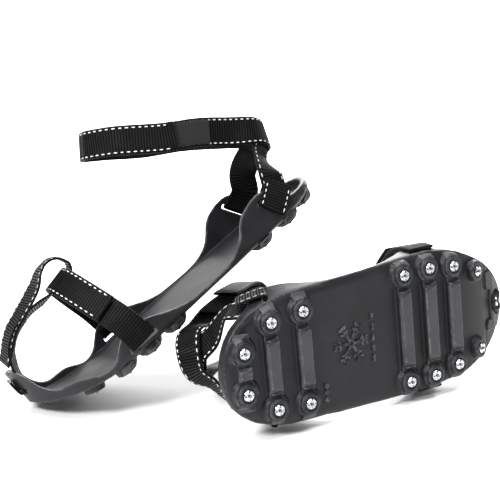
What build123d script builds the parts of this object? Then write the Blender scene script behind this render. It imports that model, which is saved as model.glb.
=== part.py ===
from build123d import *
import math
import os

# A pair of pull-on ice cleats in the stance they have on a pair of work boots: the right one lies
# on its inner side and shows its sole, and the left one stands on its toe, heel raised, beside it.
# Every piece is modelled once, for the left foot, in the cleat's own frame: X from heel to toe, Y to
# the outer side, Z up into the boot, with the underside of the base plate at Z 0. The right cleat is
# the mirror image. Both are then set down in the shared frame, floor at Z 0.

# ---- stance of the two cleats: heading about Z, nose down, roll, then the heel's place ----
PAIR_CENTRE = (9.486, 987.596)
LEFT_STANCE = (208.5, 35.0, 17.8, (57.7, 1071.4, 175.4))
RIGHT_STANCE = (32.6, -2.3, -96.3, (-27.4, 867.3, 59.7))

# ---- moulded rubber overshoe ----
PLATE = 3.5
WALL = 4.0
CHANNEL_WIDTH = 2.0
CHANNEL_DEPTH = 0.6
SOLE_MIDDLE = 165.0
SOLE_HALF_LENGTH = 156.0
SOLE_HALF_WIDTH = 61.0
TOE_START = 240.0
TOE_END = 321.0
TOE_INSET = 5.0
OUTLINE = [
    (9, 0), (11, 13), (15, 24), (21, 33), (30, 41), (45, 49), (62, 54), (80, 56), (110, 57),
    (150, 58.5), (185, 60.5), (210, 61.5), (235, 60), (250, 57), (266, 51.5), (290, 40),
    (306, 28), (316, 16),
]
RIM = [
    (0, 11), (30, 11), (44, 15), (57, 31.5), (76, 33), (91, 27), (104, 14), (125, 5.5), (150, 5),
    (168, 6), (185, 11), (205, 20), (233, 21), (250, 8), (260, 6.5), (277, 15), (298, 20),
    (307, 32), (313, 50), (330, 52),
]
TOE_SPRING = [(TOE_START, 0), (262, 2), (285, 6.5), (303, 13), (324, 24)]

# ---- tread under the sole ----
BAR_DEPTH = 4.5
BOSS_TOP_RADIUS = 9.0
BOSS_FOOT_RADIUS = 10.5
BAR_WIDTH = 13.0
BAR_STEP = 1.0
BOSS_HEIGHT = 6.0
STUD_ROWS = [(26, 17.1), (53, 36.3), (84, 39.0), (189, 47.1), (217, 47.9), (244, 44.5)]
TOE_PAIR = (273, 35.5)
TOE_PAIR_RISE = 4.0
TOE_PAIR_TILT = 17.0
TOE_STUD = (304.5, -4.0, 17.5)
TOE_STUD_TILT = 47.0
BUMPER_BACK = 292.0
EMBLEM_X = 141.0
EMBLEM_SIZE = 34.0
SIZE_DOTS = (104, -36)

# ---- studs ----
HEAD_RADIUS = 4.7
HEAD_THICKNESS = 2.2
HEAD_PROUD = 1.2
SHANK_RADIUS = 2.0
SHANK_LENGTH = 4.0
TIP_RADIUS = 1.2
TIP_PROUD = 1.3
TIP_SEAT = 3.0

# ---- webbing ----
WEB = 25.0
WEB_THICK = 2.0
PATCH_THICK = 1.0
PATCH_WIDTH = 21.0
SECTIONS = 3
CLEARANCE = 0.4
SLOT = (29.0, 4.5)
HEEL_SLOT = (62.0, 54.0, 16.2)
HEEL_STRAP_RISE = 31.0
HEEL_STRAP_TOE_IN = 15.0
FOREFOOT_SLOT = (220.0, 61.0, 7.5)
TOE_SLOT = (319.0, -5.0, 33.0)
STACK = 2 * PATCH_THICK + WEB_THICK + CLEARANCE

FROM_ITS_FOOT = (Align.CENTER, Align.CENTER, Align.MIN)

os.makedirs("parts", exist_ok=True)


def stance(heading, nose_down, roll, heel):
    """Location of a cleat from its heading, pitch and roll in degrees and its heel's place."""
    shift = Pos(heel[0] - PAIR_CENTRE[0], heel[1] - PAIR_CENTRE[1], heel[2])
    return shift * Rot(Z=heading) * Rot(Y=nose_down) * Rot(X=roll)


PLACES = {"left": stance(*LEFT_STANCE), "right": stance(*RIGHT_STANCE)}


def hand_over(piece, name):
    """Write a piece for both feet, the right one as the mirror image of the left one."""
    for side, place in PLACES.items():
        made = piece if side == "left" else piece.mirror(Plane.XZ)
        placed = made.moved(place)
        placed.label = f"{side}_{name}"
        export_step(placed, f"parts/{placed.label}.step")


def toe_shift(x):
    """Sideways shift of the outline towards the big toe."""
    return -TOE_INSET * max(0.0, x - TOE_START) / (TOE_END - TOE_START)


def outline_points(inset):
    """Closed outline of the sole, pulled in by an inset."""
    along = 1 - inset / SOLE_HALF_LENGTH
    across = 1 - inset / SOLE_HALF_WIDTH
    outer = [(x, y) for x, y in OUTLINE]
    inner = [(x, -y) for x, y in reversed(OUTLINE[1:])]
    ring = outer + [(TOE_END, 0)] + inner
    return [
        (SOLE_MIDDLE + (x - SOLE_MIDDLE) * along, y * across + toe_shift(x)) for x, y in ring
    ]


def side_profile(floor, roof=0.0):
    """Closed side view of the sole, from its floor line up to the rim raised by a roof height."""
    spring = [(x, z + floor) for x, z in TOE_SPRING]
    rim = [(x, z + roof) for x, z in RIM]
    with BuildLine() as profile:
        Polyline((-5, rim[0][1]), (-5, floor), spring[0])
        Spline(*spring)
        Polyline(spring[-1], (330, spring[-1][1]), rim[-1])
        Spline(*rim[::-1])
        Line(rim[0], (-5, rim[0][1]))
    return profile.edges()


def boss_plane(x, y, rise=0.0, tilt=0.0):
    """Plane at the foot of a stud boss, its Z pointing out of the sole."""
    turn = math.radians(tilt)
    return Plane((x, y, rise), x_dir=(0, 1, 0), z_dir=(math.sin(turn), 0, -math.cos(turn)))


def slot_plane(centre, side, rise, toe_in=0.0):
    """Plane of a strap slot in a side wall: X out of the wall, Y along the strap."""
    rise, toe_in = math.radians(rise), math.radians(toe_in)
    out = Vector(-math.sin(toe_in), side * math.cos(toe_in), 0)
    back = Vector(-math.cos(toe_in), -side * math.sin(toe_in), 0)
    strap = back * math.cos(rise) + Vector(0, 0, math.sin(rise))
    return Plane((centre[0], side * centre[1], centre[2]), x_dir=out, z_dir=out.cross(strap))


# ---------------------------------------------------------------- rubber overshoe
stud_planes = [boss_plane(x, side * y) for x, y in STUD_ROWS for side in (1, -1)]
for side in (1, -1):
    y = side * TOE_PAIR[1] + toe_shift(TOE_PAIR[0])
    stud_planes.append(boss_plane(TOE_PAIR[0], y, TOE_PAIR_RISE, TOE_PAIR_TILT))
stud_planes.append(boss_plane(*TOE_STUD, TOE_STUD_TILT))
toe_slot_plane = Plane(TOE_SLOT, x_dir=(1, 0, 0), z_dir=(0, -1, 0))

with BuildPart() as boot_space:
    with BuildSketch(Plane.XY.offset(-10)):
        with BuildLine():
            Spline(*outline_points(WALL), periodic=True)
        make_face()
    extrude(amount=90)
    with BuildSketch(Plane.XZ):
        make_face(side_profile(PLATE, roof=20))
    extrude(amount=SOLE_HALF_WIDTH + 10, both=True, mode=Mode.INTERSECT)
    # a shallow drain channel along the foot of the wall, round the flat bed
    with BuildSketch(Plane.XY.offset(PLATE)):
        with BuildLine():
            Spline(*outline_points(WALL), periodic=True)
        make_face()
        with BuildLine():
            Spline(*outline_points(WALL + CHANNEL_WIDTH), periodic=True)
        make_face(mode=Mode.SUBTRACT)
        with Locations((TOE_START, 0)):
            Rectangle(100, 200, align=(Align.MIN, Align.CENTER), mode=Mode.SUBTRACT)
    extrude(amount=-CHANNEL_DEPTH)

with BuildPart() as tread:
    for x, half in STUD_ROWS:
        with BuildSketch(Plane.XY.offset(1)):
            with Locations((x, 0)):
                Rectangle(BAR_WIDTH, 2 * half + 30)
        extrude(amount=-1 - BAR_DEPTH + BAR_STEP)
        with BuildSketch(Plane.XY.offset(1)):
            with Locations((x, 0)):
                Rectangle(BAR_WIDTH - 1, 2 * half - 32 if half > 20 else 10)
        extrude(amount=-1 - BAR_DEPTH - BAR_STEP)
    with BuildSketch(Plane.XZ):
        with BuildLine():
            Polyline((BUMPER_BACK, 14), (BUMPER_BACK, 4.5), (304, 8.5), (314, 14), (319.5, 22))
            Polyline((319.5, 22), (319.5, 28), (BUMPER_BACK, 14))
        make_face()
    extrude(amount=27, both=True)
    with BuildSketch(Plane.XY.offset(-10)):
        with BuildLine():
            Spline(*outline_points(1.5), periodic=True)
        make_face()
    extrude(amount=60, mode=Mode.INTERSECT)
    with Locations(*[plane.offset(-2) for plane in stud_planes]):
        Cone(BOSS_FOOT_RADIUS, BOSS_TOP_RADIUS, BOSS_HEIGHT + 2, align=FROM_ITS_FOOT)

with BuildPart() as emblem:
    with BuildSketch(Plane.XY.offset(0.5)):
        with Locations((EMBLEM_X, 0)):
            with PolarLocations(0, 3):
                Rectangle(EMBLEM_SIZE, 2)
            with PolarLocations(EMBLEM_SIZE / 2 - 5, 6):
                Rectangle(2, 8)
        with Locations((EMBLEM_X + 27, 0)):
            with GridLocations(0, 9, 1, 5):
                Rectangle(3, 6)
        with Locations(SIZE_DOTS):
            with GridLocations(0, 6, 1, 3):
                Circle(1.8)
    extrude(amount=-1.3)

with BuildPart() as sole:
    with BuildSketch(Plane.XY.offset(-10)):
        with BuildLine():
            Spline(*outline_points(0), periodic=True)
        make_face()
    extrude(amount=90)
    with BuildSketch(Plane.XZ):
        make_face(side_profile(0))
    extrude(amount=SOLE_HALF_WIDTH + 10, both=True, mode=Mode.INTERSECT)
    add(boot_space.part, mode=Mode.SUBTRACT)
    add(tread.part)
    add(boot_space.part, mode=Mode.SUBTRACT)
    add(emblem.part)
    with Locations(*[plane.offset(BOSS_HEIGHT) for plane in stud_planes]):
        Cylinder(SHANK_RADIUS, 2 * (HEAD_THICKNESS - HEAD_PROUD + SHANK_LENGTH), mode=Mode.SUBTRACT)
    with Locations(*[plane.offset(BOSS_HEIGHT + HEAD_PROUD - HEAD_THICKNESS) for plane in stud_planes]):
        Cylinder(HEAD_RADIUS + 0.7, 8, align=FROM_ITS_FOOT, mode=Mode.SUBTRACT)
    for side in (1, -1):
        with Locations(slot_plane(HEEL_SLOT, side, HEEL_STRAP_RISE, HEEL_STRAP_TOE_IN)):
            Box(14, SLOT[1], SLOT[0], mode=Mode.SUBTRACT)
        with Locations(slot_plane(FOREFOOT_SLOT, side, 90)):
            Box(14, SLOT[1], SLOT[0], mode=Mode.SUBTRACT)
    with Locations(toe_slot_plane):
        Box(14, SLOT[1], SLOT[0], mode=Mode.SUBTRACT)
hand_over(sole.part, "overshoe_sole")

# ---------------------------------------------------------------- studs
with BuildPart() as studs:
    for plane in stud_planes:
        with Locations(plane.offset(BOSS_HEIGHT + HEAD_PROUD)):
            Cone(HEAD_RADIUS, HEAD_RADIUS - 0.7, 0.9, align=(Align.CENTER, Align.CENTER, Align.MAX))
        with Locations(plane.offset(BOSS_HEIGHT + HEAD_PROUD - 0.9)):
            Cylinder(HEAD_RADIUS, HEAD_THICKNESS - 0.9, align=(Align.CENTER, Align.CENTER, Align.MAX))
        with Locations(plane.offset(BOSS_HEIGHT + HEAD_PROUD - HEAD_THICKNESS)):
            Cylinder(SHANK_RADIUS, SHANK_LENGTH, align=(Align.CENTER, Align.CENTER, Align.MAX))
        with Locations(plane.offset(BOSS_HEIGHT + HEAD_PROUD)):
            with PolarLocations(HEAD_RADIUS - 0.9, 4):
                Box(2.4, 1.1, 1.4, mode=Mode.SUBTRACT)
            Cylinder(TIP_RADIUS, 2 * TIP_SEAT, mode=Mode.SUBTRACT)
hand_over(studs.part, "studs")

with BuildPart() as stud_tips:
    for plane in stud_planes:
        with Locations(plane.offset(BOSS_HEIGHT + HEAD_PROUD - TIP_SEAT)):
            Cylinder(TIP_RADIUS, TIP_SEAT + TIP_PROUD, align=FROM_ITS_FOOT)
hand_over(stud_tips.part, "stud_tips")


# ---------------------------------------------------------------- webbing
ACROSS = Vector(0, -1, 0)


def between(a, b, c, d, t):
    """Smooth value between b and c, with a and d as the neighbours."""
    return b + 0.5 * t * (c - a + t * (2 * a - 5 * b + 4 * c - d + t * (3 * (b - c) + d - a)))


def along(route, place):
    """Smooth position and lift on a route, at a station number that may be a fraction."""
    first = min(int(place), len(route) - 2)
    near = [route[min(max(first + k, 0), len(route) - 1)] for k in (-1, 0, 1, 2)]
    return [between(*values, place - first) for values in zip(*near)]


def ankle_outward(x, y, z):
    """Outward direction of a boot's ankle, which leans back above the heel."""
    lean = 0.8 * min(1.0, max(0.0, (z - 30) / 60))
    out = (x - 80) / 66**2
    return Vector(out, y / 43**2, lean * out)


def toe_outward(x, y, z):
    """Outward direction of a boot's toe box, upwards at its crest."""
    top = (z / 88) ** 2
    return Vector(0.2 * top, y / 62, 0.98 * top)


def web_planes(route, outward, start, end, count, lift=0.0):
    """Cross-section planes of a ribbon: X across its width, Y through its thickness."""
    planes = []
    for k in range(count + 1):
        place = start + (end - start) * k / count
        x, y, z, raised = along(route, place)
        step = 0.02 if place + 0.02 < len(route) - 1 else -0.02
        ahead = Vector(*along(route, place + step)[:3])
        run = (ahead - Vector(x, y, z)) * (1 if step > 0 else -1)
        width = ACROSS if outward is None else run.cross(outward(x, y, z)).normalized()
        face = width.cross(run).normalized()
        origin = Vector(x, y, z) + face * (raised + lift)
        planes.append(Plane(origin, x_dir=width, z_dir=run))
    return planes


def mirrored(route):
    """The same route on the inner side of the foot."""
    return [(x, -y, z, raised) for x, y, z, raised in route]


# Routes are stations of the ribbon's middle: X, Y, Z and how far the layer is raised off the boot.
SIDE_OF_TOE = [
    (220.5, 63.2, 8, 0), (221.5, 63.5, 22, 0), (224, 58.5, 38, 0), (228, 48, 54, 0),
    (232, 35, 70, 0), (235, 20, 82, 0),
]
OVER_TOE = mirrored(SIDE_OF_TOE) + [(236, -8, 86, 0), (236, 4, 86.5, 0), (235.7, 13.5, 84.8, 0)]
TOE_FLAP = [
    (235.7, 14.5, 84.5, 0), (235, 20, 82, STACK - 0.2), (232, 35, 70, STACK),
    (228, 48, 54, STACK), (225.9, 53.8, 46, STACK),
]
TO_THE_HEEL = [(62, 47, 16.7, 0), (54, 44.8, 21.5, 0), (46, 42.3, 26.5, 0), (39, 39, 40, 0)]
ROUND_THE_HEEL = [(30, 19, 52, 0), (18, 8, 58, 0), (17, -7, 63, 0), (24, -16, 73, 0)]
ROUND_THE_ANKLE = [
    (42, 19, 88, 0), (65, 26, 105, 0), (95, 30, 123, 0), (124, 27, 144, 0), (141, 15, 155, 0),
]
LONG_STRAP = TO_THE_HEEL + ROUND_THE_HEEL + mirrored(ROUND_THE_ANKLE) + [(145, 0, 157.5, 0)]
ANKLE_FLAP = [
    (145, 1.9, 157.4, 0), (141, 15, 155, 2.5), (124, 27, 144, STACK), (95, 30, 123, STACK),
    (84, 29.3, 116.5, STACK),
]
OVER_THE_LONG_STRAP = [
    (39, 39, 40, 1.5), (30, 19, 52, 4), (18, 8, 58, 5), (17, -7, 63, 6), (24, -16, 73, 6),
]
SHORT_STRAP = (
    mirrored(TO_THE_HEEL[:3] + OVER_THE_LONG_STRAP) + [(42, 19, 88, 2)] + ROUND_THE_ANKLE[1:4]
)
OVER_TOE_CAP = [
    (311.5, -5, 34, 0), (311, -5, 50, 0), (303, -2, 66, 0), (290, -1, 75.5, 0), (272, 0, 80, 0),
    (252, 0, 79.5, 0), (236, 0, 80.5, 0), (224, 0, 83, 0), (219, 0, 91.5, 0), (223.5, 0, 100, 0),
    (232, 0, 103.5, 0),
]
TOE_CAP_FLAP = [
    (233, 0, 103.6, 0), (243, 0, 101, 0), (254, 0, 94, 0), (272, 0, 80, STACK + 2.5),
    (290, -1, 75.5, STACK), (303, -2, 66, STACK), (315.5, -3, 61, 0),
]


def webbing(route, outward, start, end, count, width=WEB, thickness=WEB_THICK, lift=0.0):
    """A flat ribbon along part of a route."""
    with BuildPart() as ribbon:
        for plane in web_planes(route, outward, start, end, count, lift):
            with BuildSketch(plane):
                Rectangle(width, thickness)
        loft(ruled=True)
    return ribbon.part


def patch(route, outward, first, last, lift):
    """A strip of hook or loop tape sewn on one face of a ribbon, between two of its sections."""
    start, end = first / SECTIONS, last / SECTIONS
    return webbing(route, outward, start, end, last - first, PATCH_WIDTH, PATCH_THICK, lift)


def whole(route, outward):
    """A ribbon along a whole route."""
    stretches = len(route) - 1
    return webbing(route, outward, 0, stretches, stretches * SECTIONS)


def slot_tails(planes, legs):
    """Webbing ends that go through their slots and turn along the wall."""
    with BuildPart() as tails:
        for plane in planes:
            with BuildSketch(plane):
                with BuildLine():
                    FilletPolyline(*legs, radius=1.3)
                trace(line_width=WEB_THICK)
            extrude(amount=WEB / 2, both=True)
    return tails.part


PATCH_LIFT = (WEB_THICK + PATCH_THICK) / 2

hand_over(whole(SIDE_OF_TOE, toe_outward), "toe_strap_outer_half")
hand_over(whole(OVER_TOE, toe_outward), "toe_strap_inner_half")
hand_over(whole(TOE_FLAP, toe_outward), "toe_strap_flap")
hand_over(patch(TOE_FLAP, toe_outward, 5, 11, -PATCH_LIFT), "toe_hook_patch")
hand_over(patch(SIDE_OF_TOE, toe_outward, 8, 14, PATCH_LIFT), "toe_loop_patch")

hand_over(whole(LONG_STRAP, ankle_outward), "ankle_strap_long")
hand_over(whole(SHORT_STRAP, ankle_outward), "ankle_strap_short")
hand_over(whole(ANKLE_FLAP, ankle_outward), "ankle_strap_flap")
hand_over(patch(ANKLE_FLAP, ankle_outward, 6, 11, -PATCH_LIFT), "ankle_hook_patch")
hand_over(patch(SHORT_STRAP, ankle_outward, 26, 32, PATCH_LIFT), "ankle_loop_patch")

hand_over(whole(OVER_TOE_CAP, None), "toe_cap_strap")
hand_over(whole(TOE_CAP_FLAP, None), "toe_cap_strap_flap")
hand_over(patch(TOE_CAP_FLAP, None, 11, 15, -PATCH_LIFT), "toe_cap_hook_patch")
hand_over(patch(OVER_TOE_CAP, None, 6, 11, PATCH_LIFT), "toe_cap_loop_patch")

heel_planes = [
    slot_plane(HEEL_SLOT, side, HEEL_STRAP_RISE, HEEL_STRAP_TOE_IN) for side in (1, -1)
]
forefoot_planes = [slot_plane(FOREFOOT_SLOT, side, 90) for side in (1, -1)]
hand_over(slot_tails(heel_planes, [(-3.5, 0), (3.3, 0), (3.3, 24)]), "heel_strap_tails")
hand_over(slot_tails(forefoot_planes, [(0.8, 0), (-6.4, 0), (-6.4, 12)]), "forefoot_strap_tails")
hand_over(slot_tails([toe_slot_plane], [(-3.3, 0), (3.3, 0), (3.3, 16)]), "toe_cap_strap_tail")
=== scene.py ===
import math

import bpy
import numpy as np
from mathutils import Matrix, Vector


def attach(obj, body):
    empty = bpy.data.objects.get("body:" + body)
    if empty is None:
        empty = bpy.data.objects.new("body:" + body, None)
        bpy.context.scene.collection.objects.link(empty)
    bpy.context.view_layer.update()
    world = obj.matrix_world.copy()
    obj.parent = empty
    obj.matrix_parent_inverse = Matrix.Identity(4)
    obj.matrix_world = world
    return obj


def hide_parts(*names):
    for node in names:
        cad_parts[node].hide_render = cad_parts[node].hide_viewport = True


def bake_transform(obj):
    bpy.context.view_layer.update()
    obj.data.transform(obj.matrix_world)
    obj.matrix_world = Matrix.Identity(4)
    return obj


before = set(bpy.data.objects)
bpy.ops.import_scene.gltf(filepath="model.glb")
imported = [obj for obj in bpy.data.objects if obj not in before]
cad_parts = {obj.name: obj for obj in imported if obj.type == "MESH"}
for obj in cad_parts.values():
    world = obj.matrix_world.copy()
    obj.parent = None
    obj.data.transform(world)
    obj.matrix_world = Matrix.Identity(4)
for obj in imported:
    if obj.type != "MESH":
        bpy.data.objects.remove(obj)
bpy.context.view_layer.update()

# ---------------------------------------------------------------- the two cleats' own frames
# X runs from heel to toe, Y to the outer side, Z up into the boot; sizes in millimetres.
PAIR_CENTRE = Vector((9.486, 987.596, 0))
STANCE = {
    "left": (208.5, 35.0, 17.8, (57.7, 1071.4, 175.4)),
    "right": (32.6, -2.3, -96.3, (-27.4, 867.3, 59.7)),
}
MM = Matrix.Scale(0.001, 4)


def own_frame(side):
    """Matrix from a cleat's own millimetres to the row frame in metres; the right one is mirrored."""
    heading, nose, roll, heel = STANCE[side]
    turn = (
        Matrix.Rotation(math.radians(heading), 4, "Z")
        @ Matrix.Rotation(math.radians(nose), 4, "Y")
        @ Matrix.Rotation(math.radians(roll), 4, "X")
    )
    mirror = Matrix.Scale(-1 if side == "right" else 1, 4, (0, 1, 0))
    return MM @ Matrix.Translation(Vector(heel) - PAIR_CENTRE) @ turn @ mirror


FRAMES = {side: own_frame(side) for side in STANCE}


# ---------------------------------------------------------------- materials
def material(name):
    """A new node material and its nodes, links and shader."""
    mat = bpy.data.materials.new(name)
    mat.use_nodes = True
    nodes = mat.node_tree.nodes
    return mat, nodes, mat.node_tree.links, nodes["Principled BSDF"]


def noise(nodes, scale, detail=4.0, rough=0.6):
    """A noise texture in object space."""
    coord = nodes.new("ShaderNodeTexCoord")
    tex = nodes.new("ShaderNodeTexNoise")
    tex.inputs["Scale"].default_value = scale
    tex.inputs["Detail"].default_value = detail
    tex.inputs["Roughness"].default_value = rough
    nodes.id_data.links.new(coord.outputs["Object"], tex.inputs["Vector"])
    return tex


def ramp(nodes, source, stops):
    """A colour ramp fed by a socket."""
    node = nodes.new("ShaderNodeValToRGB")
    node.color_ramp.elements[0].position = stops[0][0]
    node.color_ramp.elements[1].position = stops[-1][0]
    for place, _ in stops[1:-1]:
        node.color_ramp.elements.new(place)
    for element, (_, colour) in zip(node.color_ramp.elements, stops):
        element.color = (*colour, 1)
    nodes.id_data.links.new(source, node.inputs["Fac"])
    return node


def bump(nodes, source, shader, strength, distance):
    """A bump fed by a socket."""
    node = nodes.new("ShaderNodeBump")
    node.inputs["Strength"].default_value = strength
    node.inputs["Distance"].default_value = distance
    nodes.id_data.links.new(source, node.inputs["Height"])
    nodes.id_data.links.new(node.outputs["Normal"], shader.inputs["Normal"])
    return node


def mixed(nodes, kind, factor, a, b):
    """A colour mix of two sockets."""
    node = nodes.new("ShaderNodeMix")
    node.data_type = "RGBA"
    node.blend_type = kind
    node.clamp_factor = True
    links = nodes.id_data.links
    if isinstance(factor, float):
        node.inputs["Factor"].default_value = factor
    else:
        links.new(factor, node.inputs["Factor"])
    colour = [s for s in node.inputs if s.type == "RGBA"]
    for socket, value in zip(colour, (a, b)):
        if isinstance(value, tuple):
            socket.default_value = (*value, 1)
        else:
            links.new(value, socket)
    return [s for s in node.outputs if s.type == "RGBA"][0]


def rubber(name, low, high, edge_wear_and_highlight):
    """Moulded black rubber: faint cloudiness, edges lightened as scuffs and painted highlight,
    painted shade in grooves, fine grain.
    """
    mat, nodes, links, shader = material(name)
    clouds = noise(nodes, 28, 5)
    base = ramp(nodes, clouds.outputs["Fac"], [(0.3, low), (0.7, high)])
    geometry = nodes.new("ShaderNodeNewGeometry")
    # Convex edges lightened by pointiness where the scuff noise allows: partly wear, partly painted
    # highlight.
    edge = ramp(nodes, geometry.outputs["Pointiness"], [(0.51, (0, 0, 0)), (0.545, (1, 1, 1))])
    # Concave spots darkened by pointiness: painted shade in the grooves.
    groove_shade_stops = [(0.44, (0.25, 0.25, 0.25)), (0.495, (1, 1, 1))]
    painted_groove_shade = ramp(nodes, geometry.outputs["Pointiness"], groove_shade_stops)
    scuffs = noise(nodes, 160, 6, 0.7)
    wear_and_highlight = ramp(nodes, scuffs.outputs["Fac"], [(0.42, (0, 0, 0)), (0.62, (0.55, 0.55, 0.55))])
    mask = mixed(nodes, "MULTIPLY", 1.0, edge.outputs["Color"], wear_and_highlight.outputs["Color"])
    colour = mixed(nodes, "MIX", mask, base.outputs["Color"], edge_wear_and_highlight)
    colour = mixed(nodes, "MULTIPLY", 1.0, colour, painted_groove_shade.outputs["Color"])
    links.new(colour, shader.inputs["Base Color"])
    rough = ramp(nodes, clouds.outputs["Fac"], [(0.3, (0.4, 0.4, 0.4)), (0.7, (0.53, 0.53, 0.53))])
    links.new(rough.outputs["Color"], shader.inputs["Roughness"])
    shader.inputs["Specular IOR Level"].default_value = 0.22
    shader.inputs["Sheen Weight"].default_value = 0.04
    shader.inputs["Sheen Roughness"].default_value = 0.3
    grain = noise(nodes, 1400, 3)
    bump(nodes, grain.outputs["Fac"], shader, 0.12, 0.0004)
    return mat


def metal(name, dark, light, roughness, scale):
    """Plated or sintered metal with fine tool marks and painted shade in its recesses."""
    mat, nodes, links, shader = material(name)
    marks = noise(nodes, scale, 6, 0.7)
    base = ramp(nodes, marks.outputs["Fac"], [(0.3, dark), (0.7, light)])
    # Ambient occlusion darkens the recesses: painted shade.
    hollow = nodes.new("ShaderNodeAmbientOcclusion")
    hollow.inputs["Distance"].default_value = 0.0018
    painted_recess_shade = ramp(nodes, hollow.outputs["AO"], [(0.45, (0.03, 0.03, 0.032)), (0.8, (1, 1, 1))])
    colour = mixed(nodes, "MULTIPLY", 1.0, base.outputs["Color"], painted_recess_shade.outputs["Color"])
    links.new(colour, shader.inputs["Base Color"])
    shader.inputs["Metallic"].default_value = 1.0
    rough = ramp(
        nodes, marks.outputs["Fac"], [(0.3, (roughness,) * 3), (0.7, (roughness + 0.14,) * 3)]
    )
    links.new(rough.outputs["Color"], shader.inputs["Roughness"])
    bump(nodes, marks.outputs["Fac"], shader, 0.25, 0.0003)
    return mat


def webbing_material(name, low, high):
    """Black woven webbing: threads and ribs follow the ribbon's own length and width; the valleys
    between ribs carry painted shade.
    """
    mat, nodes, links, shader = material(name)
    uv = nodes.new("ShaderNodeUVMap")
    split = nodes.new("ShaderNodeSeparateXYZ")
    links.new(uv.outputs["UV"], split.inputs["Vector"])
    threads = nodes.new("ShaderNodeTexWave")
    threads.bands_direction = "Y"
    threads.inputs["Scale"].default_value = 420
    threads.inputs["Distortion"].default_value = 0.6
    links.new(uv.outputs["UV"], threads.inputs["Vector"])
    clouds = noise(nodes, 90, 4)
    base = ramp(nodes, clouds.outputs["Fac"], [(0.3, low), (0.75, high)])
    woven = ramp(nodes, threads.outputs["Fac"], [(0.0, (0.45, 0.45, 0.45)), (0.7, (1, 1, 1))])
    ribs = nodes.new("ShaderNodeTexWave")
    ribs.bands_direction = "X"
    ribs.inputs["Scale"].default_value = 2 * math.pi / (20 * RIB / 1000)
    ribs.inputs["Phase Offset"].default_value = math.pi
    links.new(uv.outputs["UV"], ribs.inputs["Vector"])
    # The valleys between the ribs are darkened: painted shade.
    raised = ramp(nodes, ribs.outputs["Fac"], [(0.15, (0.04, 0.04, 0.04)), (0.7, (1, 1, 1))])
    colour = mixed(nodes, "MULTIPLY", 1.0, base.outputs["Color"], woven.outputs["Color"])
    colour = mixed(nodes, "MULTIPLY", 1.0, colour, raised.outputs["Color"])
    links.new(colour, shader.inputs["Base Color"])
    rubbed = [(0.3, (0.95, 0.95, 0.95)), (0.85, (0.36, 0.36, 0.36))]
    shine = ramp(nodes, ribs.outputs["Fac"], rubbed)
    links.new(shine.outputs["Color"], shader.inputs["Roughness"])
    shader.inputs["Sheen Weight"].default_value = 0.02
    shader.inputs["Specular IOR Level"].default_value = 0.12
    shader.inputs["Sheen Roughness"].default_value = 0.45
    bump(nodes, threads.outputs["Fac"], shader, 0.55, 0.0003)
    return mat


def fuzzy(name, low, high, scale):
    """Hook or loop tape: a dense nap."""
    mat, nodes, links, shader = material(name)
    nap = noise(nodes, scale, 5, 0.75)
    base = ramp(nodes, nap.outputs["Fac"], [(0.35, low), (0.68, high)])
    links.new(base.outputs["Color"], shader.inputs["Base Color"])
    shader.inputs["Roughness"].default_value = 0.95
    shader.inputs["Sheen Weight"].default_value = 0.08
    shader.inputs["Specular IOR Level"].default_value = 0.2
    bump(nodes, nap.outputs["Fac"], shader, 0.9, 0.0008)
    return mat


def thread():
    """White polyester stitching."""
    mat, nodes, links, shader = material("white_thread")
    twist = noise(nodes, 900, 3)
    base = ramp(nodes, twist.outputs["Fac"], [(0.3, (0.5, 0.5, 0.49)), (0.7, (0.82, 0.82, 0.8))])
    links.new(base.outputs["Color"], shader.inputs["Base Color"])
    shader.inputs["Roughness"].default_value = 0.7
    bump(nodes, twist.outputs["Fac"], shader, 0.3, 0.0002)
    return mat


RIB = 2.4  # from one rib of the webbing to the next
RUBBER = rubber(
    "moulded_rubber", (0.006, 0.006, 0.0074), (0.014, 0.014, 0.0164), (0.12, 0.122, 0.128)
)
# Lighter rubber for tread tops, partly wear and partly painted highlight, and for the ramps at the
# bars' ends, a painted highlight.
TREAD_WEAR_AND_HIGHLIGHT = rubber(
    "tread_wear_and_painted_highlight", (0.03, 0.03, 0.0325), (0.046, 0.046, 0.0505), (0.15, 0.152, 0.158)
)
ZINC = metal("bright_zinc", (0.2, 0.215, 0.235), (0.68, 0.71, 0.75), 0.2, 420)
CARBIDE = metal("carbide", (0.1, 0.1, 0.105), (0.26, 0.26, 0.27), 0.35, 900)
WEBBING = webbing_material("black_webbing", (0.0008, 0.0008, 0.0012), (0.0058, 0.0058, 0.0072))
HOOKS = fuzzy("hook_tape", (0.003, 0.003, 0.003), (0.018, 0.018, 0.019), 900)
LOOPS = fuzzy("loop_tape", (0.004, 0.004, 0.004), (0.025, 0.025, 0.026), 1300)
THREAD = thread()
for name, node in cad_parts.items():
    finish = RUBBER
    if name.endswith("studs"):
        finish = ZINC
    if name.endswith("stud_tips"):
        finish = CARBIDE
    if "strap" in name:
        finish = WEBBING
    if "hook" in name:
        finish = HOOKS
    if "loop_patch" in name:
        finish = LOOPS
    if not node.material_slots:
        node.data.materials.append(finish)
    for slot in node.material_slots:
        slot.material = finish


# ---------------------------------------------------------------- straps
WEB = 25.0
THICK = 2.0
STACK = 4.4  # lift of a flap over the strap and tapes below it
TWIST = -0.3  # radians by which the toe-cap strap turns on its way over the toe
TWIST_START = (236, 34)  # x and z where that turn begins
TWIST_REACH = (22, 20)
LEFT_SPREAD = 6.0  # the left ankle loop stands this much further out on each side
TAPE_WIDTH = 21.0
TAPE_THICK = 1.0
TAPE_LIFT = 1.5
DASH = 3.4
DASH_GAP = 2.1
STITCH_INSET = 2.4
STITCH_RING = ((-0.55, -0.1), (-0.4, 0.32), (0.4, 0.32), (0.55, -0.1))
STITCH_SWELL = (0.25, 0.85, 1, 0.85, 0.25)
ROUTE_SAMPLES = 400


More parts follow.
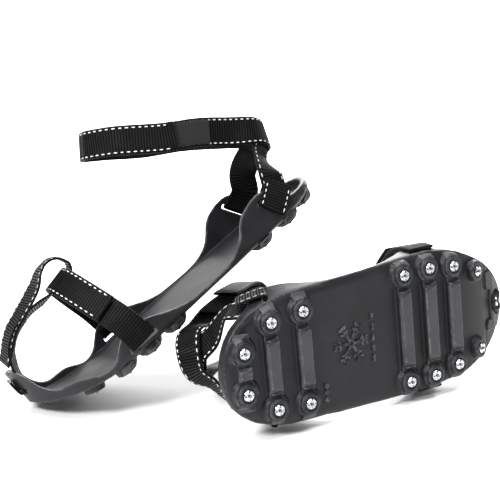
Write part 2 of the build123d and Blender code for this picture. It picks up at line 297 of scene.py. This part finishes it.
def mirrored(route):
    """The same route on the inner side of the foot."""
    return [(x, -y, z, raised) for x, y, z, raised in route]


def widened(route, extra):
    """A route pushed outwards from the cleat's middle plane."""
    return [
        (x, y + math.copysign(extra * min(1, abs(y) / 20), y), z, raised)
        for x, y, z, raised in route
    ]


SIDE_OF_TOE = [
    (220.5, 63.2, 8, 0), (221.5, 63.5, 22, 0), (224, 58.5, 38, 0), (228, 48, 54, 0),
    (232, 35, 70, 0), (235, 20, 82, 0),
]
OVER_TOE = mirrored(SIDE_OF_TOE) + [(236, -8, 86, 0), (236, 4, 86.5, 0)]
TOE_FLAP = [
    (235.7, 12, 85, 0.6), (235, 20, 82, STACK - 0.2), (232, 35, 70, STACK),
    (228, 48, 54, STACK), (225.9, 53.8, 46, STACK),
]
TO_THE_HEEL = [(62, 47, 16.7, 0), (54, 44.8, 21.5, 0), (46, 42.3, 26.5, 0), (39, 39, 40, 0)]
ROUND_THE_HEEL = [(30, 19, 52, 0), (18, 8, 58, 0), (17, -7, 63, 0), (24, -16, 73, 0)]
OVER_THE_LONG_STRAP = [
    (39, 39, 40, 1.5), (30, 19, 52, 4), (18, 8, 58, 5), (17, -7, 63, 6), (24, -16, 73, 6),
]
ROUND_THE_ANKLE = [
    (42, 19, 88, 0), (65, 26, 105, 0), (95, 30, 123, 0), (124, 27, 144, 0), (141, 15, 155, 0),
]
ANKLE_FLAP = [
    (141, 15, 155, 2.5), (124, 27, 144, STACK), (95, 30, 123, STACK), (84, 29.3, 116.5, STACK),
]
FRONT_OF_ANKLE = [(145, 0, 157.5, 0)]
OVER_TOE_CAP = [
    (311.5, -5, 34, 0), (311, -5, 50, 0), (303, -2, 66, 0), (290, -1, 75.5, 0), (272, 0, 80, 0),
    (252, 0, 79.5, 0), (236, 0, 80.5, 0), (224, 0, 83, 0), (219, 0, 91.5, 0), (223.5, 0, 100, 0),
    (232, 0, 103.5, 0),
]
TOE_CAP_FLAP = [
    (243, 0, 101, 0), (254, 0, 94, 0), (272, 0, 80, STACK + 2.5), (290, -1, 75.5, STACK),
    (303, -2, 66, STACK), (315.5, -3, 61, 0),
]


def ankle_outward(p):
    """Outward direction of a boot's ankle, which leans back above the heel."""
    lean = 0.8 * min(1.0, max(0.0, (p[2] - 30) / 60))
    out = (p[0] - 80) / 66**2
    return np.array((out, p[1] / 43**2, lean * out))


FLAT = np.array((0.0, -1.0, 0.0))


def toe_outward(p):
    """Outward direction of a boot's toe box, upwards at its crest."""
    top = (p[2] / 88) ** 2
    return np.array((0.2 * top, p[1] / 62, 0.98 * top))


def along(route, place):
    """Smooth position and lift on a route, at a station number that may be a fraction."""
    first = min(int(place), len(route) - 2)
    a, b, c, d = (route[min(max(first + k, 0), len(route) - 1)] for k in (-1, 0, 1, 2))
    t = place - first
    return b + 0.5 * t * (c - a + t * (2 * a - 5 * b + 4 * c - d + t * (3 * (b - c) + d - a)))


def stations(route, outward, start, end, pitch, twist=0.0):
    """Evenly spaced centres, width directions and face directions along part of a ribbon."""
    route = np.array(route, float)
    places = np.linspace(start, end, ROUTE_SAMPLES)
    rough = np.array([along(route, p) for p in places])
    centres = []
    frames = []
    for k, p in enumerate(rough):
        run = rough[min(k + 1, ROUTE_SAMPLES - 1), :3] - rough[max(k - 1, 0), :3]
        run /= np.linalg.norm(run)
        if callable(outward):
            width = np.cross(run, outward(p[:3]))
        else:
            width = outward - run * (outward @ run)
        width /= np.linalg.norm(width)
        if twist:
            turn = twist * np.clip((p[0] - TWIST_START[0]) / TWIST_REACH[0], 0, 1)
            turn = turn * np.clip((p[2] - TWIST_START[1]) / TWIST_REACH[1], 0, 1)
            width = width * math.cos(turn) + np.cross(run, width) * math.sin(turn)
        face = np.cross(width, run)
        frames.append(np.hstack((width, face)))
        centres.append(p[:3] + face * p[3])
    centres = np.array(centres)
    frames = np.array(frames)
    length = np.insert(np.cumsum(np.linalg.norm(np.diff(centres, axis=0), axis=1)), 0, 0)
    steps = np.linspace(0, length[-1], max(2, round(length[-1] / pitch) + 1))
    centres = np.array([np.interp(steps, length, c) for c in centres.T]).T
    frames = np.array([np.interp(steps, length, c) for c in frames.T]).T
    return steps, centres, frames[:, :3], frames[:, 3:]


def tube(verts, faces, rings, uv, steps, across):
    """Adds a closed tube of equal rings to a mesh under construction."""
    base = len(verts)
    count = len(rings[0])
    for ring in rings:
        verts.extend(ring)
    for s in range(len(rings) - 1):
        for k in range(count):
            n = (k + 1) % count
            a = base + s * count
            faces.append((a + k, a + n, a + count + n, a + count + k))
            u = (across[k], across[k + 1])
            v = (steps[s], steps[s + 1])
            uv.append(((v[0], u[0]), (v[0], u[1]), (v[1], u[1]), (v[1], u[0])))
    for a, order in ((base, -1), (base + (len(rings) - 1) * count, 1)):
        faces.append(tuple(range(a, a + count))[::order])
        uv.append(tuple((0, 0) for _ in range(count)))


def build(name, side, body, verts, faces, uv, mats, which, smooth=60):
    """A mesh piece from points in a cleat's own frame, riding on a body of that cleat."""
    mesh = bpy.data.meshes.new(name)
    place = FRAMES[side]
    mesh.from_pydata([place @ Vector(v) for v in verts], [], faces)
    if side == "right":
        mesh.flip_normals()
    if uv:
        layer = mesh.uv_layers.new(name="UVMap")
        flat = []
        for polygon, corners in zip(mesh.polygons, uv):
            given = dict(zip(faces[polygon.index], corners))
            flat.extend(given[mesh.loops[k].vertex_index] for k in polygon.loop_indices)
        layer.data.foreach_set("uv", np.array(flat, np.float32).ravel())
    for mat in mats:
        mesh.materials.append(mat)
    mesh.polygons.foreach_set("material_index", which)
    mesh.polygons.foreach_set("use_smooth", [True] * len(faces))
    mesh.set_sharp_from_angle(angle=math.radians(smooth))
    obj = bpy.data.objects.new(f"{side}_{name}", mesh)
    bpy.context.scene.collection.objects.link(obj)
    if body:
        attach(obj, f"{side}_{body}")
    return obj


def stitch_row(mesh_parts, steps, centres, across, face, offset, up, top):
    """Adds one row of raised dashes; returns how many faces it added."""
    verts, faces, uv = mesh_parts
    before = len(faces)
    profile = STITCH_RING if up > 0 else STITCH_RING[::-1]
    start = 2.0
    while start + DASH < steps[-1] - 1.5:
        span = np.linspace(start, start + DASH, len(STITCH_SWELL))
        middles, widths, outs = (
            np.array([np.interp(span, steps, c) for c in rows.T]).T
            for rows in (centres, across, face)
        )
        rings = []
        for middle, width, out, swell in zip(middles, widths, outs, STITCH_SWELL):
            rings.append([
                middle + width * (offset + a * swell) + out * (top + up * b * swell)
                for a, b in profile
            ])
        tube(verts, faces, rings, uv, span / 1000, [0, 0.001, 0.002, 0.003, 0.004])
        start += DASH + DASH_GAP
    return len(faces) - before


def ribbon(side, name, body, route, outward, start=0.0, end=None, stitched=(-1, 1), ribs=0.3,
           faces_stitched=(1,), width=WEB, thick=THICK, lift=0.0, mats=None, twist=0.0):
    """Woven webbing along a route, with cross ribs and rows of dashed stitching near its edges."""
    end = len(route) - 1 if end is None else end
    steps, centres, across, face = stations(route, outward, start, end, RIB / 4, twist)
    half = width / 2
    spots = [(-half + 0.35, 1)] + [(half * k / 6, 1) for k in range(-5, 6)] + [(half - 0.35, 1)]
    profile = [(y, z * (thick / 2 - (0.25 if abs(y) > half - 1 else 0))) for y, z in spots]
    profile += [(half, 0.0)] + [(y, -z) for y, z in profile[::-1]] + [(-half, 0.0)]
    verts, faces, uv = [], [], []
    rings = []
    for s, c, w, f in zip(steps, centres, across, face):
        rib = ribs * math.cos(2 * math.pi * s / RIB)
        ring = []
        for y, z in profile:
            proud = z + lift + math.copysign(rib, z) * (0.4 + 0.6 * (abs(y) < half - 1.6))
            ring.append(c + w * y + f * proud)
        rings.append(ring)
    sides = zip(profile, profile[1:] + profile[:1])
    lengths = [math.dist(here, there) for here, there in sides]
    round_it = np.insert(np.cumsum(lengths), 0, 0) / 1000
    tube(verts, faces, rings, uv, steps / 1000, round_it)
    which = [0] * len(faces)
    for row in stitched:
        for up in faces_stitched:
            offset = row * (half - STITCH_INSET)
            top = up * (thick / 2 + 0.02) + lift
            parts = (verts, faces, uv)
            which += [1] * stitch_row(parts, steps, centres, across, face, offset, up, top)
    obj = build(name, side, body, verts, faces, uv, mats or (WEBBING, THREAD), which)
    return obj


def tape(side, name, body, route, outward, start, end, lift, mat, twist=0.0):
    """Hook or loop tape sewn on a ribbon's face."""
    obj = ribbon(
        side, name, body, route, outward, start, end, stitched=(), ribs=0.05, width=TAPE_WIDTH,
        thick=TAPE_THICK, lift=lift, mats=(mat, THREAD), twist=twist,
    )
    return obj


def hooks(side, name, body, route, outward, start, end, twist=0.0):
    """Hook tape on the underside of a flap."""
    return tape(side, name, body, route, outward, start, end, -TAPE_LIFT, HOOKS, twist)


def loops(side, name, route, outward, start, end, twist=0.0):
    """Loop tape on the outside of a strap of the cleat."""
    return tape(
        side, name, "cleat", route, outward, start, end, TAPE_LIFT, LOOPS, twist
    )


def ankle_straps(side):
    """Long and short ankle straps, the flap that closes them, and its tapes."""
    spread = LEFT_SPREAD if side == "left" else 0.0
    ankle = widened(ROUND_THE_ANKLE, spread)
    flap = widened(ANKLE_FLAP, spread)
    long_route = TO_THE_HEEL + ROUND_THE_HEEL + mirrored(ankle) + FRONT_OF_ANKLE
    wrap_route = mirrored(ankle)[3:] + FRONT_OF_ANKLE + [(144, 9, 156.8, 1.2)] + flap
    short_route = mirrored(TO_THE_HEEL[:3] + OVER_THE_LONG_STRAP)
    short_route += [(42, 19 + spread * 0.6, 88, 2)] + ankle[1:4]
    long_strap = ribbon(
        side, "ankle_strap_long_webbing", "cleat", long_route, ankle_outward, 0, 11
    )
    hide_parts(f"{side}_ankle_strap_long")
    wrap = ribbon(side, "ankle_strap_wrap_webbing", None, wrap_route, ankle_outward)
    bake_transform(wrap)
    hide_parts(f"{side}_ankle_strap_flap")
    short = ribbon(side, "ankle_strap_short_webbing", "cleat", short_route, ankle_outward)
    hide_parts(f"{side}_ankle_strap_short")
    loop = loops(side, "ankle_loop_tape", short_route, ankle_outward, 26 / 3, 32 / 3)
    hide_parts(f"{side}_ankle_loop_patch")
    hook = hooks(side, "ankle_hook_tape", "ankle_flap", flap, ankle_outward, 1, 8 / 3)
    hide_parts(f"{side}_ankle_hook_patch")


def toe_straps(side):
    """Both halves of the toe strap, the flap that closes them, and its tapes."""
    outer = ribbon(
        side, "toe_strap_outer_webbing", "cleat", SIDE_OF_TOE, toe_outward, stitched=()
    )
    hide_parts(f"{side}_toe_strap_outer_half")
    inner = ribbon(
        side, "toe_strap_inner_webbing", "cleat", OVER_TOE, toe_outward, 0, 4, stitched=()
    )
    wrap_route = OVER_TOE[4:] + TOE_FLAP
    wrap = ribbon(side, "toe_strap_wrap_webbing", None, wrap_route, toe_outward)
    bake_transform(wrap)
    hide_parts(f"{side}_toe_strap_inner_half")
    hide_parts(f"{side}_toe_strap_flap")
    loop = loops(side, "toe_loop_tape", SIDE_OF_TOE, toe_outward, 8 / 3, 14 / 3)
    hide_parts(f"{side}_toe_loop_patch")
    hook = hooks(side, "toe_hook_tape", "toe_flap", TOE_FLAP, toe_outward, 5 / 3, 11 / 3)
    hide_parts(f"{side}_toe_hook_patch")


def toe_cap_straps(side):
    """The strap over the toe cap, its flap round the toe strap, and its tapes."""
    inner = ribbon(
        side, "toe_cap_inner_webbing", "cleat", OVER_TOE_CAP, FLAT, 0, 8, stitched=(), twist=TWIST
    )
    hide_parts(f"{side}_toe_cap_strap")
    outer_route = OVER_TOE_CAP[8:] + TOE_CAP_FLAP
    outer = ribbon(side, "toe_cap_outer_webbing", None, outer_route, FLAT, twist=TWIST)
    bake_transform(outer)
    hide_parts(f"{side}_toe_cap_strap_flap")
    loop = loops(side, "toe_cap_loop_tape", OVER_TOE_CAP, FLAT, 2, 11 / 3, TWIST)
    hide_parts(f"{side}_toe_cap_loop_patch")
    hook = hooks(side, "toe_cap_hook_tape", "toe_cap_flap", TOE_CAP_FLAP, FLAT, 8 / 3, 4, TWIST)
    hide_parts(f"{side}_toe_cap_hook_patch")


for side in ("left", "right"):
    ankle_straps(side)
    toe_straps(side)
    toe_cap_straps(side)


def tail(side, name, nodes, legs, stitched=(-1, 1)):
    """Ends of webbing folded back through their slots."""
    for count, (route, width_dir) in enumerate(legs):
        obj = folded(side, f"{name}_{count + 1}", route, width_dir, stitched)
        if count == 0:
            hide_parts(*[f"{side}_{n}" for n in nodes])


def folded(side, name, route, width_dir, stitched):
    """A short folded ribbon whose width direction stays the same."""
    return ribbon(
        side, name, "cleat", [(*p, 0) for p in route], np.array(width_dir, float),
        stitched=stitched, faces_stitched=(-1,),
    )


HEEL_TAIL = [
    (62.0, 50.5, 16.7), (64.0, 54.6, 15.8), (61.5, 56.2, 17.0), (52, 53.7, 22.5), (42, 50.0, 28.5),
]
SHORT_HEEL_TAIL = [(62.0, -49.5, 16.7), (63.0, -52.2, 16.1), (62.0, -53.9, 16.7), (58.5, -53.0, 18.7)]
HEEL_ACROSS = (0.515, 0.0, 0.857)
FOREFOOT_TAIL = [
    (220.0, 55.5, 18.0), (220.0, 56.0, 11.5), (220.0, 60, 9.2), (220.0, 62.8, 11.5),
    (220.3, 63.2, 20),
]
FOREFOOT_ACROSS = (1.0, 0.0, 0.0)
TOE_TAIL = [
    (313.0, -5, 44), (314.5, -5, 35), (318.5, -5, 33.0), (321.8, -5, 34.5), (322.4, -5, 47),
]
TOE_ACROSS = (0.0, 1.0, 0.0)
for side in ("left", "right"):
    heel_legs = [(HEEL_TAIL, HEEL_ACROSS), (SHORT_HEEL_TAIL, HEEL_ACROSS)]
    tail(side, "heel_tail", ["heel_strap_tails"], heel_legs)
    fore_legs = [
        ([(x, hand * y, z) for x, y, z in FOREFOOT_TAIL], FOREFOOT_ACROSS) for hand in (1, -1)
    ]
    tail(side, "forefoot_tail", ["forefoot_strap_tails"], fore_legs, stitched=())
    tail(side, "toe_cap_tail", ["toe_cap_strap_tail"], [(TOE_TAIL, TOE_ACROSS)], stitched=())


# ---------------------------------------------------------------- rubber overshoes
ROWS = [(26, 17.1), (53, 36.3), (84, 39.0), (189, 47.1), (217, 47.9), (244, 44.5)]
TREAD_END = 262  # the tread's flat part ends here and the toe springs up
EDGE_REACH = 9  # how far in from the outline the lower edge is rounded over
EDGE_HEIGHT = [
    (0, 8), (104, 8), (116, 4), (165, 4), (185, 6), (200, 8), (240, 8), (256, 4), (TREAD_END, 0),
]
ARCH = (96, 178, 46)  # the flat under the arch: from x, to x, half its width
RAMP_FOOT = 4.6
RAMP_REACH = 8.5
RAMP_SLOPE = 0.85
RIB_HALF_WIDTH = 5.6
RIB_DEPTH = 6.6
STEP_DEPTH = 5.9
BOSS_REACH = 13.0
BOSS_PROFILE = [
    (0, 0), (5.3, 0), (5.9, 6.0), (6.6, 6.35), (7.9, 6.1), (8.6, 5.0), (9.2, 4.6),
    (10.4, 4.3), (11.4, 3.2), (BOSS_REACH, 0.0),
]
TOE_SPRING = [(240, 0), (TREAD_END, 2), (285, 6.5), (303, 13), (324, 24)]
TOE_STUD = (304.5, -4.0, 17.5)
TOE_STUD_TILT = 47
TOE_BOSS_CROWN = 4.7
BUMPER_BACK = 293
BUMPER_DEPTH = 1.7


def prism(verts, faces, bottom, top):
    """Adds a closed solid between two outlines with the same number of points."""
    base = len(verts)
    n = len(bottom)
    verts.extend(bottom)
    verts.extend(top)
    faces.append(tuple(range(base, base + n))[::-1])
    faces.append(tuple(range(base + n, base + 2 * n)))
    for k in range(n):
        a, b = base + k, base + (k + 1) % n
        faces.append((a, b, b + n, a + n))


HALF_WIDTHS = [
    (9, 0), (11, 13), (15, 24), (21, 33), (30, 41), (45, 49), (62, 54), (80, 56), (110, 57),
    (150, 58.5), (185, 60.5), (210, 61.5), (235, 60), (250, 57), (266, 51.5), (290, 40),
    (306, 28), (316, 16), (321, 0),
]


def toe_shift(x):
    """Sideways shift of the outline towards the big toe."""
    return -5.0 * np.clip((x - 240.0) / 81.0, 0, 1)


def table(places, rows):
    """Values read from a table of pairs, straight between its rows."""
    return np.interp(places, [place for place, _ in rows], [value for _, value in rows])


def mould(points, normals):
    """Shapes the underside and returns which points lie on the ramps at the bars' ends."""
    x, z = points[:, 0], points[:, 2]
    y = points[:, 1] - toe_shift(x)
    ring = [(a, b) for a, b in HALF_WIDTHS] + [(a, -b) for a, b in HALF_WIDTHS[::-1]]
    ring = np.array(ring, float)
    inside = np.full(len(points), 1e9)
    inward = np.zeros((len(points), 2))
    for (ax, ay), (bx, by) in zip(ring[:-1], ring[1:]):
        run = np.array((bx - ax, by - ay))
        if not run.any():
            continue
        t = np.clip(((x - ax) * run[0] + (y - ay) * run[1]) / (run @ run), 0, 1)
        away = np.hypot(x - ax - t * run[0], y - ay - t * run[1])
        inward[away < inside] = np.array((run[1], -run[0])) / np.hypot(*run)
        inside = np.minimum(inside, away)
    radius = np.full(len(points), 1e9)
    for bx, by in ROWS:
        radius = np.minimum(radius, np.hypot(x - bx, np.abs(y) - by))
    # the lower edge is rounded over: the corner's two sides slide onto one curve
    height = table(x, EDGE_HEIGHT)
    corner = (x < TREAD_END) & (inside < EDGE_REACH) & (z < height) & (z > -0.9)
    corner &= ((z < 0.6) & (normals[:, 2] < 0.3)) | (inside < 0.7)
    travel = np.where(z < 0.6, np.minimum(z, 0) - inside, z) + EDGE_REACH
    t = np.clip(travel / (EDGE_REACH + height + 1e-9), 0, 1)
    shift = np.where(corner, EDGE_REACH * (1 - t) ** 2 - inside, 0)
    under = (z < 0.2) & (x < TREAD_END)
    arch_start, arch_end, arch_half = ARCH
    plate = under & (z > -1.6) & (np.abs(y) < arch_half) & (x > arch_start) & (x < arch_end)
    z[plate & ~corner] = 0
    points[:, :2] += inward * shift[:, None]
    z[corner] = (height * t * t)[corner]
    # the bars' ends run up to the wall
    ramp = -RAMP_FOOT + np.clip(RAMP_REACH - inside, 0, 9) * RAMP_SLOPE
    free = np.clip((radius - 8.5) / 1.5, 0, 1)
    ramped = under & (z < ramp) & (free > 0.4) & (inside > 1.2)
    z[:] = np.where(under & (z < ramp), z + free * (ramp - z), z)
    for bx, by in ROWS:
        rib = under & (z < -3.0) & (np.abs(x - bx) < RIB_HALF_WIDTH) & (np.abs(y) < by - 13.5)
        z[rib] = -RIB_DEPTH
        for hand in (1, -1):
            u, v = x - bx, hand * y - (by - 15.5)
            slanted = (np.abs(v - 0.35 * u) < 1.6) & (np.abs(u) < RIB_HALF_WIDTH)
            z[under & (z < -3.0) & slanted] = -STEP_DEPTH
    boss = under & (radius > 5.3) & (radius < BOSS_REACH) & (normals[:, 2] < -0.2)
    collar = -table(radius, BOSS_PROFILE)
    z[boss] = np.minimum(z[boss], collar[boss])
    # toe bumper: a low pad with an angular inner edge, and the toe stud's boss standing clear of it
    spring = table(x, TOE_SPRING)
    tilt = math.radians(TOE_STUD_TILT)
    axis = np.array((math.sin(tilt), 0, -math.cos(tilt)))
    away = points - np.array(TOE_STUD)
    tall = away @ axis
    off = np.linalg.norm(away - np.outer(tall, axis), axis=1)
    crown = (off < 12) & (tall > TOE_BOSS_CROWN) & (tall < 9)
    points[crown] -= np.outer(tall - TOE_BOSS_CROWN, axis)[crown]
    edge = BUMPER_BACK + 5 * (np.abs(y) < 14) - 3 * np.clip((np.abs(y) - 14) / 8, 0, 1)
    floor_line = spring - np.where(x > edge, BUMPER_DEPTH, 0.0)
    pad = (x > 286) & (z < spring + 1) & (off > 9.6) & (z < floor_line)
    z[pad] = floor_line[pad]
    return ramped


def near_boss(point):
    """Whether a point of the underside lies on one of the stud bosses."""
    return any(math.hypot(point.x - bx, abs(point.y) - by) < BOSS_REACH for bx, by in ROWS)


def sole(side):
    """The overshoe with softly moulded edges, bar ends that run up the wall and small steps."""
    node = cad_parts[f"{side}_overshoe_sole"]
    inverse = FRAMES[side].inverted()
    verts = [tuple(inverse @ v.co) for v in node.data.vertices]
    faces = [tuple(p.vertices) for p in node.data.polygons]
    mesh = bpy.data.meshes.new("rough")
    mesh.from_pydata(verts, [], faces)
    obj = bpy.data.objects.new("rough", mesh)
    bpy.context.scene.collection.objects.link(obj)
    weld = obj.modifiers.new("weld", "WELD")
    weld.merge_threshold = 0.01
    remesh = obj.modifiers.new("remesh", "REMESH")
    remesh.mode = "VOXEL"
    remesh.voxel_size = 0.85
    smooth = obj.modifiers.new("smooth", "SMOOTH")
    smooth.factor = 0.5
    smooth.iterations = 2
    evaluated = obj.evaluated_get(bpy.context.evaluated_depsgraph_get())
    done = bpy.data.meshes.new_from_object(evaluated)
    bpy.data.objects.remove(obj)
    points = np.empty(3 * len(done.vertices))
    done.vertices.foreach_get("co", points)
    points = points.reshape(-1, 3)
    normals = np.empty(3 * len(done.vertices))
    done.vertices.foreach_get("normal", normals)
    ramped = mould(points, normals.reshape(-1, 3))
    done.vertices.foreach_set("co", points.ravel())
    # Tread tops take the lighter rubber as wear and painted highlight; faces on the bars' end ramps
    # take it as painted highlight.
    wear_and_highlight = [
        (p.center.z < -6.45 and p.normal.z < -0.9 and not near_boss(p.center))
        or all(ramped[v] for v in p.vertices)
        for p in done.polygons
    ]
    done.transform(FRAMES[side])
    if side == "right":
        done.flip_normals()
    done.materials.clear()
    done.materials.append(RUBBER)
    done.materials.append(TREAD_WEAR_AND_HIGHLIGHT)
    done.polygons.foreach_set("material_index", wear_and_highlight)
    done.polygons.foreach_set("use_smooth", [True] * len(done.polygons))
    piece = bpy.data.objects.new(f"{side}_overshoe_rubber", done)
    bpy.context.scene.collection.objects.link(piece)
    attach(piece, f"{side}_cleat")
    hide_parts(f"{side}_overshoe_sole")


for side in ("left", "right"):
    sole(side)


# ---------------------------------------------------------------- emblem under the arch
SNOWFLAKE_X = 132
SNOWFLAKE_SIZE = 34
DASHES_X = 155
DOTS_START = (104, -42)


def emblem(side):
    """A snowflake, a row of dashes and three dots, raised from the flat under the arch."""
    verts, faces = [], []

    def bar(cx, cy, angle, length, width):
        """Adds a low block with sloping sides."""
        c, s = math.cos(angle), math.sin(angle)
        low, high = [], []
        for u, v in ((-1, -1), (1, -1), (1, 1), (-1, 1)):
            a, b = u * length / 2, v * width / 2
            high.append((cx + a * c - b * s, cy + a * s + b * c, 0.3))
            a, b = u * (length / 2 - 0.25), v * (width / 2 - 0.25)
            low.append((cx + a * c - b * s, cy + a * s + b * c, -1.5))
        prism(verts, faces, low, high)

    for k in range(3):
        bar(SNOWFLAKE_X, 0, math.radians(60 * k), SNOWFLAKE_SIZE, 3.0)
    for k in range(6):
        turn = math.radians(60 * k)
        for fork in (turn - 0.9, turn + 0.9):
            for reach in (9.5, 14):
                cx = SNOWFLAKE_X + reach * math.cos(turn) + 2 * math.cos(fork)
                cy = reach * math.sin(turn) + 2 * math.sin(fork)
                bar(cx, cy, fork, 6.0, 2.2)
    for k in range(5):
        bar(DASHES_X, -18 + 9 * k, math.pi / 2, 6, 2.6)
    for k in range(3):
        bar(DOTS_START[0], DOTS_START[1] + 6 * k, 0.8, 4.2, 4.2)
    obj = build("sole_emblem", side, "cleat", verts, faces, None, (RUBBER,), [0] * len(faces), 30)


for side in ("left", "right"):
    emblem(side)


# ---------------------------------------------------------------- floor, light and camera
bpy.ops.mesh.primitive_plane_add(size=40, location=(0, 8, -0.001))
floor = bpy.context.object
floor.name = "floor"
ground, ground_nodes, ground_links, ground_shader = material("pale_floor")
tone = noise(ground_nodes, 3, 2)
pale = ramp(ground_nodes, tone.outputs["Fac"], [(0.3, (0.9, 0.9, 0.9)), (0.7, (0.93, 0.93, 0.93))])
ground_links.new(pale.outputs["Color"], ground_shader.inputs["Base Color"])
ground_shader.inputs["Roughness"].default_value = 0.9
floor.data.materials.append(ground)


def area(name, place, target, size, power):
    """A soft square light aimed at a point."""
    lamp = bpy.data.lights.new(name, "AREA")
    lamp.size = size
    lamp.energy = power
    obj = bpy.data.objects.new(name, lamp)
    obj.location = place
    obj.rotation_euler = (Vector(target) - Vector(place)).to_track_quat("-Z", "Y").to_euler()
    obj.visible_camera = False
    bpy.context.scene.collection.objects.link(obj)


area("key", (-0.7, -0.9, 0.95), (0.02, 0, 0.07), 0.3, 24)
area("fill", (1.2, -0.8, 1.1), (0.05, 0, 0.1), 0.9, 2)
area("back", (0.1, 1.5, 0.85), (0, 0, 0.1), 1.4, 60)
sun = bpy.data.lights.new("sky", "SUN")
sun.energy = 4.4
sun.angle = math.radians(50)
sky = bpy.data.objects.new("sky", sun)
bpy.context.scene.collection.objects.link(sky)
world = bpy.data.worlds.new("studio")
bpy.context.scene.world = world
world.use_nodes = True
world.node_tree.nodes["Background"].inputs["Color"].default_value = (1, 1, 1, 1)
world.node_tree.nodes["Background"].inputs["Strength"].default_value = 0.16
bpy.context.scene.view_settings.view_transform = "Standard"

camera = bpy.data.cameras.new("camera")
camera.sensor_width = 36
camera.lens = 86.4
camera.clip_start = 0.01
eye = bpy.data.objects.new("camera", camera)
eye.location = (-PAIR_CENTRE.x / 1000, -PAIR_CENTRE.y / 1000, 0.4148)
eye.rotation_euler = (math.radians(74), 0, 0)
bpy.context.scene.collection.objects.link(eye)
bpy.context.scene.camera = eye
